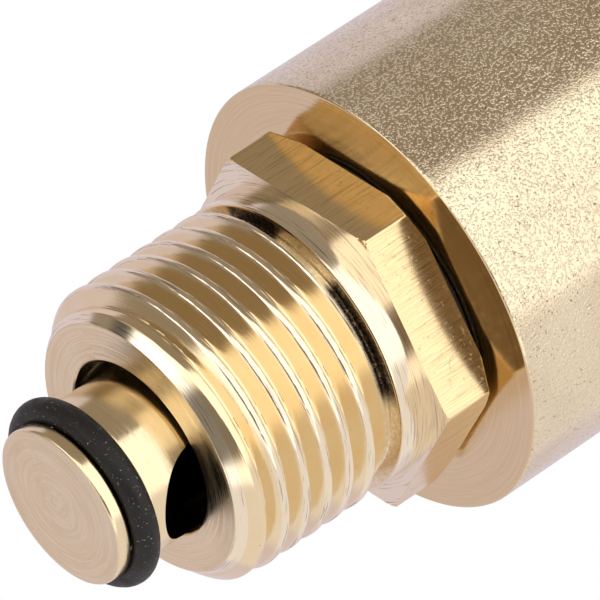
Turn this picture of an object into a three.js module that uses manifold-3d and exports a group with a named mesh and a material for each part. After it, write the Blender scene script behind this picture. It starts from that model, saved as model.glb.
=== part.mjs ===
// Automatic air vent with an automatic isolating valve, G 1/2. Millimetres, +Z up.
// The origin is the centre of the inlet thread's open end. The vent screws into the isolating
// valve, the isolating valve screws into the pipe, and the float works the nozzle through a lever.

import * as THREE from 'three';
import { mergeVertices } from 'three/addons/utils/BufferGeometryUtils.js';
import Module from 'manifold-3d';

const wasm = await Module();
wasm.setup();

// ---------- driving dimensions ----------

const GAP = 0.3; // clearance between pieces that touch on the real vent

// G 1/2: phase is how far the lowest crest on the +X side stands above the open end
const INLET = {
  crestR: 10.4775, rootR: 9.3155, pitch: 1.814, phase: 1.25, faceR: 8.9, chamferRise: 1.58, length: 11.6,
};
const RELIEF = { radius: 9.3, top: 12.75 }; // groove behind the inlet thread
const COLLAR = { radius: 10.45, top: 14.65 };
const HEXAGON = { acrossFlats: 22, top: 18.8, chamfer: 0.6 };
const GUIDE = { radius: 6.2, top: 3.5, mouthChamfer: 0.25 }; // bore that guides the shutter
const SPRING_CHAMBER = { radius: 7.45, top: 9.2 };
const TAIL_BORE_R = 8.33; // female G 3/8

const SHUTTER = {
  headBottom: -6.9, headR: 5.55, edge: 0.2, grooveBottom: -5.95, grooveTop: -3.9, grooveR: 4.65,
  stemR: 5.65, flangeR: 6.95, flangeBottom: 8.2, top: 9.5, hollowR: 4.2, hollowFloor: -3.4,
};
const LEAN = { x: 0.38, y: -0.11 }; // the shutter is loose in its guide and lies against one side
const WINDOW = { radius: 3.6, z: 0.45, turn: 34 }; // cross hole, turned from -Y towards +X (degrees)
const SHUTTER_RING = { radius: 5.75, section: 0.95, z: -4.92 };
const SPRING = { radius: 6.5, wire: 0.4, turns: 4 };

const BODY = {
  radius: 15.4, bottom: 19.4, top: 66, chamberR: 13.2, floor: 22, threadR: 13.9, threadBottom: 57.8,
};
const TAIL = { radius: 8, bottom: 9.8, reliefR: 7.5, reliefBottom: 17.8, boreR: 4.6 };
const GASKET = { innerR: 8, outerR: 10.6, clearance: 0.08 };

const COVER = {
  skirtR: 13.55, skirtBottom: 58.5, roomR: 11.3, ceiling: 67.5, flangeR: 15.1, flangeBottom: 66.3,
  flatBottom: 67.8, flatTop: 72.3, acrossFlats: 26, chamfer: 0.8, bossR: 5.6, bossTop: 75,
  grooveBottom: 64, grooveTop: 65.7, grooveR: 12.25,
};
const COVER_RING = { radius: 13.075, section: 0.725, z: 64.85 };

const NOZZLE = {
  x: -3.8, seat: 65.9, seatR: 2.2, shoulder: 69.6, shankR: 3.7, flangeBottom: 75.9, flangeTop: 77.4,
  acrossFlats: 9, threadR: 3.9, top: 82, orificeR: 0.8, boreR: 1.5, boreBottom: 69,
};
const CAP = {
  radius: 6.4, bottom: 77.8, top: 85.5, roof: 83.9, boreR: 4.25, ribs: 18, ribR: 0.42, ventR: 0.7, ventZ: 80,
};
const CAP_SEAL = { radius: 3.95, bottom: 82.3, top: 83.6 };

const PIVOT = { x: -8.5, z: 63.8 }; // lever's pivot, along Y
const LEVER = { droop: 17.5, halfWidth: 2.4, thickness: 1, end: 10.4, barrelR: 1.7, barrelHalf: 2.6 };
const HOOK_SLOT = { from: 7.4, to: 9.6, halfWidth: 0.7 }; // measured from the pivot
const PIN = { radius: 0.75, bore: 0.85, headR: 1.4 };
const CHEEK = { inner: 3, outer: 4.3, left: -10, right: -7, bottom: 62.2 };
const PLATE = { bottom: 66.4, top: 67.2, right: -0.5, armHalf: 8.2, armWidth: 4.4 };
const SCREW = { y: 6.4, shankR: 0.9, holeR: 1.15, headR: 1.7, headHeight: 1, top: 69.8, holeTop: 70.2 };

const LINK = { x: -0.2, wire: 0.4, bottom: 55.2, head: 62.35, headR: 1, headHeight: 0.7 };
const FLOAT = { radius: 11.6, bottom: 25.4, top: 54.5, wall: 1.1, bossR: 2.2, bossTop: 57, holeR: 0.6 };

// ---------- materials ----------

const finish = (color, roughness, metalness) => new THREE.MeshStandardMaterial({ color, roughness, metalness });

const MATERIALS = {
  turnedBrass: () => finish(0xc9a86a, 0.25, 1),
  castBrass: () => finish(0xbfa77c, 0.55, 1),
  steel: () => finish(0xb9bcc0, 0.3, 1),
  rubber: () => finish(0x2b2928, 0.6, 0),
  blackPlastic: () => finish(0x1d1d1f, 0.5, 0),
  whitePlastic: () => finish(0xe6e2d8, 0.5, 0),
};

// ---------- solids from three.js geometry ----------

// A closed three.js geometry becomes a solid once its shared vertices are merged.
function solidOf(geometry) {
  const bare = geometry.clone();
  for (const name of Object.keys(bare.attributes)) {
    if (name !== 'position') bare.deleteAttribute(name);
  }
  const merged = mergeVertices(bare, 1e-4);
  const index = merged.index.array;
  const triangles = [];
  for (let i = 0; i < index.length; i += 3) {
    const [a, b, c] = [index[i], index[i + 1], index[i + 2]];
    if (a !== b && b !== c && c !== a) triangles.push(a, b, c);
  }
  const vertProperties = new Float32Array(merged.attributes.position.array);
  return new wasm.Manifold(new wasm.Mesh({ numProp: 3, vertProperties, triVerts: new Uint32Array(triangles) }));
}

function geometryOf(solid) {
  const mesh = solid.getMesh();
  const geometry = new THREE.BufferGeometry();
  geometry.setAttribute('position', new THREE.BufferAttribute(new Float32Array(mesh.vertProperties), 3));
  geometry.setIndex(new THREE.BufferAttribute(new Uint32Array(mesh.triVerts), 1));
  geometry.computeVertexNormals();
  return geometry;
}

const union = (first, ...rest) => rest.reduce((all, next) => all.add(next), first);
const cut = (first, ...rest) => rest.reduce((all, next) => all.subtract(next), first);

// A body of revolution about Z through (x, y), from [radius, z] points. A profile that leaves
// the axis and comes back to it is solid, and any other one is closed into a ring.
function turned(profile, segments = 48, x = 0, y = 0) {
  const points = profile.map(([radius, z]) => new THREE.Vector2(radius, z));
  if (THREE.ShapeUtils.area(points) < 0) points.reverse();
  const last = points[points.length - 1];
  if (points[0].x > 0 || last.x > 0) points.push(points[0].clone());
  return solidOf(new THREE.LatheGeometry(points, segments).rotateX(Math.PI / 2).translate(x, y, 0));
}

const rod = (radius, bottom, top, segments = 24, x = 0, y = 0) =>
  turned([[0, bottom], [radius, bottom], [radius, top], [0, top]], segments, x, y);

const ring = (inner, outer, bottom, top, segments = 40, x = 0, y = 0) =>
  turned([[inner, bottom], [outer, bottom], [outer, top], [inner, top]], segments, x, y);

// A hexagonal prism with two flats square to Y.
function hexagon(acrossFlats, bottom, top, x = 0) {
  const radius = acrossFlats / Math.sqrt(3);
  const prism = new THREE.CylinderGeometry(radius, radius, top - bottom, 6).rotateX(Math.PI / 2);
  return solidOf(prism.rotateZ(Math.PI / 6).translate(x, 0, (bottom + top) / 2));
}

// The cone that takes the corners off a hexagon, 30 degrees to its end faces.
function cornerCone(acrossFlats, bottom, top, lowCut, highCut, x = 0) {
  const corner = acrossFlats / Math.sqrt(3);
  const run = (rise) => corner - rise / Math.tan(Math.PI / 6);
  const profile = [[0, bottom], [run(lowCut), bottom], [corner, bottom + lowCut]];
  profile.push([corner, top - highCut], [run(highCut), top], [0, top]);
  return turned(profile, 48, x);
}

function roundRing(radius, section, z, around = 36, across = 10) {
  return solidOf(new THREE.TorusGeometry(radius, section, across, around).translate(0, 0, z));
}

function box(x0, x1, y0, y1, z0, z1) {
  const geometry = new THREE.BoxGeometry(x1 - x0, y1 - y0, z1 - z0);
  return solidOf(geometry.translate((x0 + x1) / 2, (y0 + y1) / 2, (z0 + z1) / 2));
}

// An outline in the XZ plane, given its thickness along Y.
function slabXZ(shape, y0, y1, curveSegments = 8) {
  const geometry = new THREE.ExtrudeGeometry(shape, { depth: y1 - y0, bevelEnabled: false, curveSegments });
  return solidOf(geometry.rotateX(Math.PI / 2).translate(0, y1, 0));
}

// A rod along Y through (x, z).
const crossRod = (radius, y0, y1, x, z, segments = 16) =>
  solidOf(new THREE.CylinderGeometry(radius, radius, y1 - y0, segments).translate(x, (y0 + y1) / 2, z));

// A rod with a right-hand Whitworth thread. Every column of vertices is one step round the
// helix further up, and the seam, on the +X side, joins the last column to the first one, a
// pitch higher. On the seam a crest starts at the bottom.
function threadedRod({ crestR, rootR, pitch }, bottom, top, columns = 36) {
  const flank = ((crestR - rootR) * Math.tan((27.5 * Math.PI) / 180)) / pitch;
  const flat = 0.5 - flank;
  const phases = [[0, crestR], [flat, crestR], [flat + flank, rootR], [1 - flank, rootR]];
  const rows = phases.length * Math.ceil((top - bottom) / pitch);
  const positions = [];
  for (let column = 0; column < columns; column++) {
    const angle = (2 * Math.PI * column) / columns;
    for (let row = 0; row <= rows; row++) {
      const [phase, radius] = phases[row % phases.length];
      const turn = Math.floor(row / phases.length) + phase + column / columns;
      positions.push(radius * Math.cos(angle), radius * Math.sin(angle), bottom + pitch * turn);
    }
  }
  positions.push(0, 0, bottom, 0, 0, bottom + pitch * (rows / phases.length + 1));
  const low = columns * (rows + 1);
  const high = low + 1;
  const at = (column, row) => column * (rows + 1) + row;
  const index = [];
  for (let column = 0; column < columns; column++) {
    const seam = column === columns - 1;
    const next = seam ? 0 : column + 1;
    const rise = seam ? phases.length : 0;
    for (let row = 0; row + rise < rows; row++) {
      const [a, b, c, d] = [at(column, row), at(next, row + rise), at(next, row + rise + 1), at(column, row + 1)];
      index.push(a, b, c, a, c, d);
    }
    if (seam) {
      for (let row = 0; row < phases.length; row++) {
        index.push(low, at(0, row), at(0, row + 1));
        index.push(high, at(column, rows - row), at(column, rows - row - 1));
      }
    }
    index.push(low, at(next, seam ? rise : 0), at(column, 0));
    if (seam) index.push(high, at(column, rows - rise), at(0, rows));
    else index.push(high, at(column, rows), at(next, rows));
  }
  const geometry = new THREE.BufferGeometry();
  geometry.setAttribute('position', new THREE.Float32BufferAttribute(positions, 3));
  geometry.setIndex(index);
  return solidOf(geometry);
}

class Helix extends THREE.Curve {
  constructor(radius, bottom, top, turns) {
    super();
    Object.assign(this, { radius, bottom, top, turns });
  }

  getPoint(t, target = new THREE.Vector3()) {
    const angle = 2 * Math.PI * this.turns * t;
    const z = this.bottom + (this.top - this.bottom) * t;
    return target.set(this.radius * Math.cos(angle), this.radius * Math.sin(angle), z);
  }
}

// ---------- isolating valve ----------

function valveBody() {
  const { crestR, faceR, chamferRise, length, pitch, phase } = INLET;
  const wide = crestR + 0.1;
  const rise = (chamferRise * (wide - faceR)) / (crestR - faceR);
  const blank = turned([[0, 0], [faceR, 0], [wide, rise], [wide, length], [0, length]], 36);
  const thread = threadedRod(INLET, phase - 3 * pitch, length + pitch).intersect(blank);
  const neck = turned([
    [0, length - 0.4], [RELIEF.radius, length - 0.4], [RELIEF.radius, RELIEF.top], [COLLAR.radius, RELIEF.top],
    [COLLAR.radius, COLLAR.top + 0.2], [0, COLLAR.top + 0.2],
  ]);
  const { acrossFlats, top, chamfer } = HEXAGON;
  const nut = hexagon(acrossFlats, COLLAR.top, top).intersect(
    cornerCone(acrossFlats, COLLAR.top, top, 0.15, chamfer),
  );
  const bore = turned([
    [0, -1], [GUIDE.radius + GUIDE.mouthChamfer + 1, -1], [GUIDE.radius, GUIDE.mouthChamfer],
    [GUIDE.radius, GUIDE.top], [SPRING_CHAMBER.radius, GUIDE.top], [SPRING_CHAMBER.radius, SPRING_CHAMBER.top],
    [TAIL_BORE_R, SPRING_CHAMBER.top], [TAIL_BORE_R, top - 0.4], [TAIL_BORE_R + 1.4, top + 1], [0, top + 1],
  ]);
  return cut(union(thread, neck, nut), bore);
}

function shutter() {
  const s = SHUTTER;
  const outside = turned([
    [0, s.headBottom], [s.headR - s.edge, s.headBottom], [s.headR, s.headBottom + s.edge],
    [s.headR, s.grooveBottom], [s.grooveR, s.grooveBottom], [s.grooveR, s.grooveTop], [s.stemR, s.grooveTop],
    [s.stemR, s.flangeBottom], [s.flangeR, s.flangeBottom], [s.flangeR, s.top], [0, s.top],
  ]);
  const hollow = rod(s.hollowR, s.hollowFloor, s.top + 1, 40);
  const window = new THREE.CylinderGeometry(WINDOW.radius, WINDOW.radius, 4 * s.stemR, 40);
  window.rotateZ((WINDOW.turn * Math.PI) / 180).translate(0, 0, WINDOW.z);
  return cut(outside, hollow, solidOf(window)).translate([LEAN.x, LEAN.y, 0]);
}

const shutterRing = () =>
  roundRing(SHUTTER_RING.radius, SHUTTER_RING.section, SHUTTER_RING.z).translate([LEAN.x, LEAN.y, 0]);

function shutterSpring() {
  const { radius, wire, turns } = SPRING;
  const section = new THREE.Shape().absarc(0, 0, wire, 0, 2 * Math.PI);
  const inset = wire + 0.15;
  const path = new Helix(radius, GUIDE.top + inset, SHUTTER.flangeBottom - inset, turns);
  const steps = 18 * turns;
  const coil = solidOf(new THREE.ExtrudeGeometry(section, { steps, extrudePath: path, curveSegments: 4 }));
  return coil.translate([0.75 * LEAN.x, 0.75 * LEAN.y, 0]);
}

const bodyGasket = () =>
  ring(GASKET.innerR, GASKET.outerR, HEXAGON.top + GASKET.clearance, BODY.bottom - GASKET.clearance, 48);

// ---------- vent casing ----------

function ventBody() {
  const b = BODY;
  const t = TAIL;
  const outside = turned([
    [0, t.bottom], [t.radius - 0.6, t.bottom], [t.radius, t.bottom + 0.6], [t.radius, t.reliefBottom],
    [t.reliefR, t.reliefBottom], [t.reliefR, b.bottom], [b.radius - 0.25, b.bottom],
    [b.radius, b.bottom + 0.25], [b.radius, b.top - 0.4], [b.radius - 0.4, b.top], [0, b.top],
  ]);
  const chamber = turned([
    [0, t.bottom - 1], [t.boreR, t.bottom - 1], [t.boreR, b.floor], [b.chamberR - 2, b.floor],
    [b.chamberR, b.floor + 2], [b.chamberR, b.threadBottom - 0.7], [b.threadR, b.threadBottom],
    [b.threadR, b.top + 1], [0, b.top + 1],
  ]);
  return cut(outside, chamber);
}

function cover() {
  const c = COVER;
  const skirt = turned([
    [0, c.skirtBottom], [c.skirtR - 0.5, c.skirtBottom], [c.skirtR, c.skirtBottom + 0.5],
    [c.skirtR, c.grooveBottom], [c.grooveR, c.grooveBottom], [c.grooveR, c.grooveTop],
    [c.skirtR, c.grooveTop], [c.skirtR, c.flangeBottom], [c.flangeR, c.flangeBottom],
    [c.flangeR, c.flatBottom - 0.3], [c.flangeR - 0.3, c.flatBottom], [0, c.flatBottom],
  ]);
  const nut = hexagon(c.acrossFlats, c.flatBottom - 0.2, c.flatTop).intersect(
    cornerCone(c.acrossFlats, c.flatBottom - 0.2, c.flatTop, 0.1, c.chamfer),
  );
  const boss = turned([
    [0, c.flatTop - 0.5], [c.bossR, c.flatTop - 0.5], [c.bossR, c.bossTop - 0.5],
    [c.bossR - 0.5, c.bossTop], [0, c.bossTop],
  ], 36, NOZZLE.x);
  const room = rod(c.roomR, c.skirtBottom - 1, c.ceiling, 40);
  const seatHole = rod(NOZZLE.seatR + GAP, c.ceiling - 1, c.bossTop, 24, NOZZLE.x);
  const threadHole = rod(NOZZLE.shankR + GAP, NOZZLE.shoulder - GAP, c.bossTop + 1, 32, NOZZLE.x);
  const screwHoles = [-1, 1].map((side) =>
    rod(SCREW.holeR, c.ceiling - 1, SCREW.holeTop, 16, NOZZLE.x, side * SCREW.y));
  return cut(union(skirt, nut, boss), room, seatHole, threadHole, ...screwHoles);
}

const coverRing = () => roundRing(COVER_RING.radius, COVER_RING.section, COVER_RING.z, 40, 8);

// ---------- nozzle and cap ----------

function nozzle() {
  const n = NOZZLE;
  const shank = turned([
    [0, n.seat], [n.seatR - 0.8, n.seat], [n.seatR, n.seat + 0.8], [n.seatR, n.shoulder],
    [n.shankR, n.shoulder], [n.shankR, n.flangeBottom + 0.2], [0, n.flangeBottom + 0.2],
  ], 24, n.x);
  const nut = hexagon(n.acrossFlats, n.flangeBottom, n.flangeTop, n.x).intersect(
    cornerCone(n.acrossFlats, n.flangeBottom, n.flangeTop, 0.2, 0.2, n.x),
  );
  const tip = turned([
    [0, n.flangeTop - 0.2], [n.threadR, n.flangeTop - 0.2], [n.threadR, n.top - 0.5],
    [n.threadR - 0.5, n.top], [0, n.top],
  ], 24, n.x);
  const bore = turned([
    [0, n.seat - 1], [n.orificeR, n.seat - 1], [n.orificeR, n.boreBottom], [n.boreR, n.boreBottom + 0.7],
    [n.boreR, n.top + 1], [0, n.top + 1],
  ], 20, n.x);
  return cut(union(shank, nut, tip), bore);
}

const nozzleGasket = () =>
  ring(NOZZLE.shankR + 0.3, 4.5, COVER.bossTop + 0.15, NOZZLE.flangeBottom - 0.15, 32, NOZZLE.x);

function ventCap() {
  const c = CAP;
  const shell = turned([
    [0, c.bottom], [c.radius, c.bottom], [c.radius, c.top - 0.8], [c.radius - 0.8, c.top], [0, c.top],
  ], 36, NOZZLE.x);
  const ribs = [];
  for (let i = 0; i < c.ribs; i++) {
    const angle = (2 * Math.PI * i) / c.ribs;
    const x = NOZZLE.x + c.radius * Math.cos(angle);
    ribs.push(rod(c.ribR, c.bottom + 1, c.top - 1, 8, x, c.radius * Math.sin(angle)));
  }
  const bore = rod(c.boreR, c.bottom - 1, c.roof, 32, NOZZLE.x);
  const vent = crossRod(c.ventR, 0, 2 * c.radius, NOZZLE.x, c.ventZ, 12);
  return cut(union(shell, ...ribs), bore, vent);
}

const capSeal = () => rod(CAP_SEAL.radius, CAP_SEAL.bottom, CAP_SEAL.top, 32, NOZZLE.x);

// ---------- float and lever ----------

function leverBracket() {
  const p = PLATE;
  const back = box(CHEEK.left, p.right, -CHEEK.outer, CHEEK.outer, p.bottom, p.top);
  const half = p.armWidth / 2;
  const arms = box(NOZZLE.x - half, NOZZLE.x + half, -p.armHalf, p.armHalf, p.bottom, p.top);
  const middle = (CHEEK.left + CHEEK.right) / 2;
  const radius = (CHEEK.right - CHEEK.left) / 2;
  const outline = new THREE.Shape();
  outline.moveTo(CHEEK.left, p.bottom + 0.3).lineTo(CHEEK.left, CHEEK.bottom + radius);
  outline.absarc(middle, CHEEK.bottom + radius, radius, Math.PI, 2 * Math.PI);
  outline.lineTo(CHEEK.right, p.bottom + 0.3);
  const cheeks = [-1, 1].map((side) => {
    const [y0, y1] = [side * CHEEK.inner, side * CHEEK.outer].sort((a, b) => a - b);
    return slabXZ(outline, y0, y1);
  });
  const pinHole = crossRod(PIN.bore, -6, 6, PIVOT.x, PIVOT.z);
  const seatHole = rod(NOZZLE.seatR + GAP, p.bottom - 1, p.top + 1, 24, NOZZLE.x);
  const screwHoles = [-1, 1].map((side) =>
    rod(SCREW.holeR, p.bottom - 1, p.top + 1, 16, NOZZLE.x, side * SCREW.y));
  return cut(union(back, arms, ...cheeks), pinHole, seatHole, ...screwHoles);
}

function bracketScrew(side) {
  const s = SCREW;
  const headTop = PLATE.bottom - 0.15;
  const headBottom = headTop - s.headHeight;
  const blank = turned([
    [0, headBottom], [s.headR - 0.3, headBottom], [s.headR, headBottom + 0.3], [s.headR, headTop],
    [s.shankR, headTop], [s.shankR, s.top - 0.4], [s.shankR - 0.4, s.top], [0, s.top],
  ], 20, NOZZLE.x, side * s.y);
  const slot = box(NOZZLE.x - 3, NOZZLE.x + 3, side * s.y - 0.25, side * s.y + 0.25, headBottom - 1, headBottom + 0.5);
  return cut(blank, slot);
}

function leverPin() {
  const head = CHEEK.outer + 0.2;
  const outside = turned([
    [0, -head - 0.7], [PIN.headR, -head - 0.7], [PIN.headR, -head], [PIN.radius, -head],
    [PIN.radius, 4.65], [0.5, 4.65], [0.5, 5.15], [PIN.radius, 5.15], [PIN.radius, 5.6], [0, 5.6],
  ], 16);
  return outside.rotate([-90, 0, 0]).translate([PIVOT.x, 0, PIVOT.z]);
}

function pinClip() {
  const clip = cut(ring(0.6, 1.6, 4.75, 5.05, 16), box(-0.5, 0.5, 0, 3, 4, 6));
  return clip.rotate([-90, 0, 0]).translate([PIVOT.x, 0, PIVOT.z]);
}

// The lever is drawn level, with its pivot at the origin, and hangs down when the float is low.
const hangs = (solid) => solid.rotate([0, LEVER.droop, 0]).translate([PIVOT.x, 0, PIVOT.z]);

function leverArm() {
  const l = LEVER;
  const seat = NOZZLE.x - PIVOT.x;
  const strip = box(0, l.end, -l.halfWidth, l.halfWidth, -l.thickness / 2, l.thickness / 2);
  const barrel = crossRod(l.barrelR, -l.barrelHalf, l.barrelHalf, 0, 0, 20);
  const pinHole = crossRod(PIN.bore, -4, 4, 0, 0);
  const plugHole = rod(1.4, -2, 2, 20, seat);
  const slot = box(HOOK_SLOT.from, HOOK_SLOT.to, -HOOK_SLOT.halfWidth, HOOK_SLOT.halfWidth, -2, 2);
  return hangs(cut(union(strip, barrel), pinHole, plugHole, slot));
}

function obturator() {
  const seat = NOZZLE.x - PIVOT.x;
  return hangs(turned([
    [0, -1.45], [1.6, -1.45], [1.9, -1.1], [1.9, -0.65], [1.25, -0.65], [1.25, 0.65], [2.1, 0.65],
    [2.1, 1.5], [1.8, 1.8], [0, 1.8],
  ], 20, seat));
}

function floatLink() {
  const l = LINK;
  return turned([
    [0, l.bottom], [l.wire, l.bottom], [l.wire, l.head], [l.headR, l.head],
    [l.headR, l.head + l.headHeight], [0, l.head + l.headHeight],
  ], 16, l.x);
}

// The float is a bell, open below, that traps air.
function floatBell() {
  const f = FLOAT;
  const outside = turned([
    [0, f.bottom], [f.radius, f.bottom], [f.radius, f.top - 1.2], [f.radius - 1.2, f.top], [0, f.top],
  ]);
  const inside = rod(f.radius - f.wall, f.bottom - 1, f.top - f.wall - 1, 40);
  const boss = rod(f.bossR, f.top - 0.5, f.bossTop, 20, LINK.x);
  const hole = rod(f.holeR, LINK.bottom - 0.2, f.bossTop + 1, 16, LINK.x);
  return cut(union(cut(outside, inside), boss), hole);
}

// ---------- the assembly ----------

function mesh(name, solid, material) {
  const piece = new THREE.Mesh(geometryOf(solid), MATERIALS[material]());
  piece.name = name;
  return piece;
}

const isolatingValve = new THREE.Group();
isolatingValve.add(
  mesh('valve_body', valveBody(), 'turnedBrass'),
  mesh('shutter', shutter(), 'turnedBrass'),
  mesh('shutter_oring', shutterRing(), 'rubber'),
  mesh('shutter_spring', shutterSpring(), 'steel'),
  mesh('body_gasket', bodyGasket(), 'rubber'),
);

const casing = new THREE.Group();
casing.add(
  mesh('vent_body', ventBody(), 'castBrass'),
  mesh('cover', cover(), 'turnedBrass'),
  mesh('cover_oring', coverRing(), 'rubber'),
  mesh('nozzle', nozzle(), 'turnedBrass'),
  mesh('nozzle_gasket', nozzleGasket(), 'rubber'),
  mesh('vent_cap', ventCap(), 'blackPlastic'),
  mesh('cap_seal', capSeal(), 'rubber'),
);

const mechanism = new THREE.Group();
mechanism.add(
  mesh('lever_bracket', leverBracket(), 'whitePlastic'),
  mesh('bracket_screw_1', bracketScrew(-1), 'steel'),
  mesh('bracket_screw_2', bracketScrew(1), 'steel'),
  mesh('lever_pin', leverPin(), 'steel'),
  mesh('pin_clip', pinClip(), 'steel'),
  mesh('lever_arm', leverArm(), 'steel'),
  mesh('obturator', obturator(), 'rubber'),
  mesh('float_link', floatLink(), 'steel'),
  mesh('float', floatBell(), 'whitePlastic'),
);

const airVent = new THREE.Group();
airVent.add(isolatingValve, casing, mechanism);

export default airVent;
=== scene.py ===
"""Looks of the automatic air vent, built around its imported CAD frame. Metres, +Z up the vent's axis."""

import math
import bpy
import numpy as np
from mathutils import Matrix, Vector


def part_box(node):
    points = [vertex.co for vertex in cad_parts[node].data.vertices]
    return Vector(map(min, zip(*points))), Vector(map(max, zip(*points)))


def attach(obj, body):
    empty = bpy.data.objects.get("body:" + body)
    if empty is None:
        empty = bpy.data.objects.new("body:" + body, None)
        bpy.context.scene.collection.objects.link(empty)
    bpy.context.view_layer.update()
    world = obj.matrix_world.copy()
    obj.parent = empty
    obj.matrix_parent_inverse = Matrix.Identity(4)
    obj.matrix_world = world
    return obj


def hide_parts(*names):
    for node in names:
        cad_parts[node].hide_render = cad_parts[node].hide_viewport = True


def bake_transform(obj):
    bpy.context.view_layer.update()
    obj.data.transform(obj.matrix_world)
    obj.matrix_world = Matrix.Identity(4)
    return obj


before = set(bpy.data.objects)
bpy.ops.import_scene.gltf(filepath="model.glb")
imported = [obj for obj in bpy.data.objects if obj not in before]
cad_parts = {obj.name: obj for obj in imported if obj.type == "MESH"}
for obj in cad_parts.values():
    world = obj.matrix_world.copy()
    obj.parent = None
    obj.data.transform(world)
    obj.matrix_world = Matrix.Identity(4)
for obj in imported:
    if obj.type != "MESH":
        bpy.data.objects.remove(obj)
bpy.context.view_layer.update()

MM = 0.001  # the shapes below are in millimetres, and turned into metres by mesh()


# ---------- camera ----------

VIEW_AZIMUTH = -16.28  # degrees round the axis from -Y
VIEW_ELEVATION = -28.31
VIEW_ROLL = 56.64  # the axis points up and to the right
VIEW_DISTANCE = 0.537
LENS = 509.0
AIM_RIGHT, AIM_UP, AIM_HEIGHT = -0.00221, 0.00027, 0.015


def view_axes():
    """Unit vectors from the object towards the camera, to its right and up, before the roll."""
    a, e = math.radians(VIEW_AZIMUTH), math.radians(VIEW_ELEVATION)
    back = Vector((math.sin(a) * math.cos(e), -math.cos(a) * math.cos(e), math.sin(e)))
    right = Vector((math.cos(a), math.sin(a), 0))
    return back, right, back.cross(right)


def make_camera():
    back, right, up = view_axes()
    data = bpy.data.cameras.new("camera")
    data.lens = LENS
    data.clip_start, data.clip_end = 0.01, 50
    camera = bpy.data.objects.new("camera", data)
    bpy.context.scene.collection.objects.link(camera)
    aim = Vector((0, 0, AIM_HEIGHT)) + right * AIM_RIGHT + up * AIM_UP
    roll = math.radians(VIEW_ROLL)
    x = right * math.cos(roll) + up * math.sin(roll)
    y = up * math.cos(roll) - right * math.sin(roll)
    turn = Matrix((x, y, back)).transposed().to_4x4()
    camera.matrix_world = Matrix.Translation(aim + back * VIEW_DISTANCE) @ turn
    bpy.context.scene.camera = camera


# ---------- small helpers for node trees ----------


class Nodes:
    """Short names for adding and linking the nodes of one tree."""

    def __init__(self, tree):
        self.tree = tree
        tree.nodes.clear()

    def add(self, kind, inputs=None, **settings):
        node = self.tree.nodes.new(kind)
        for name, value in settings.items():
            setattr(node, name, value)
        for key, value in (inputs or {}).items():
            socket = node.inputs[key]
            if isinstance(value, bpy.types.NodeSocket):
                self.tree.links.new(value, socket)
            else:
                socket.default_value = value
        return node

    def math(self, operation, a, b=0.0, clamp=False):
        node = self.add("ShaderNodeMath", {0: a, 1: b}, operation=operation, use_clamp=clamp)
        return node.outputs[0]

    def vector(self, operation, a, b=(0, 0, 0)):
        node = self.add("ShaderNodeVectorMath", {0: a, 1: b}, operation=operation)
        return node.outputs[1] if operation in ("DOT_PRODUCT", "LENGTH") else node.outputs[0]

    def steps(self, value, low, high, out_low=0.0, out_high=1.0):
        """value from low to high, turned smoothly into out_low to out_high."""
        node = self.add(
            "ShaderNodeMapRange",
            {0: value, 1: low, 2: high, 3: out_low, 4: out_high},
            interpolation_type="SMOOTHSTEP",
        )
        return node.outputs[0]

    def mix(self, factor, a, b, blend="MIX"):
        node = self.add("ShaderNodeMix", data_type="RGBA", blend_type=blend)
        for key, value in ((0, factor), (6, a), (7, b)):
            if isinstance(value, bpy.types.NodeSocket):
                self.tree.links.new(value, node.inputs[key])
            else:
                node.inputs[key].default_value = value
        return node.outputs[2]

    def noise(self, vector, scale, detail=2.0, roughness=0.5):
        inputs = {"Vector": vector, "Scale": scale, "Detail": detail, "Roughness": roughness}
        return self.add("ShaderNodeTexNoise", inputs).outputs[0]


# ---------- light ----------

# Directions in the studio are (towards the camera, right, up) of the level view. Two planes part it
# into a bright strip, a paler side, a dim side and a back, each with its light.
STRIP_SOFTNESS, SIDE_SOFTNESS = 0.025, 0.05
STRIP_EDGE = (0.595, 0.763, -0.248)
SIDE_EDGE = (-0.825, 0.466, 0.323)
STRIP_LIGHT = (1.5, 1.46, 1.38, 1)
SIDE_LIGHT = (0.9, 0.85, 0.83, 1)
DIM_LIGHT = (0.32, 0.265, 0.205, 1)
BACK_LIGHT = (0.75, 0.68, 0.76, 1)
SPOT_SOFTNESS = 4  # degrees
# Direction, half angle in degrees and light: dark under and beside the camera, two lamps, a dark flag.
SPOTS = [
    ((0.391, 0.189, -0.902), 22, (0.26, 0.23, 0.2, 1)),
    ((0.742, 0.473, -0.474), 17, (0.2, 0.15, 0.11, 1)),
    ((0.19, -0.6, -0.777), 17, (1.9, 1.85, 1.8, 1)),
    ((0.06, -0.9, -0.43), 11, (0.8, 0.68, 0.5, 1)),
    ((-0.17, -0.789, -0.588), 7, (0.12, 0.11, 0.1, 1)),
]


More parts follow.
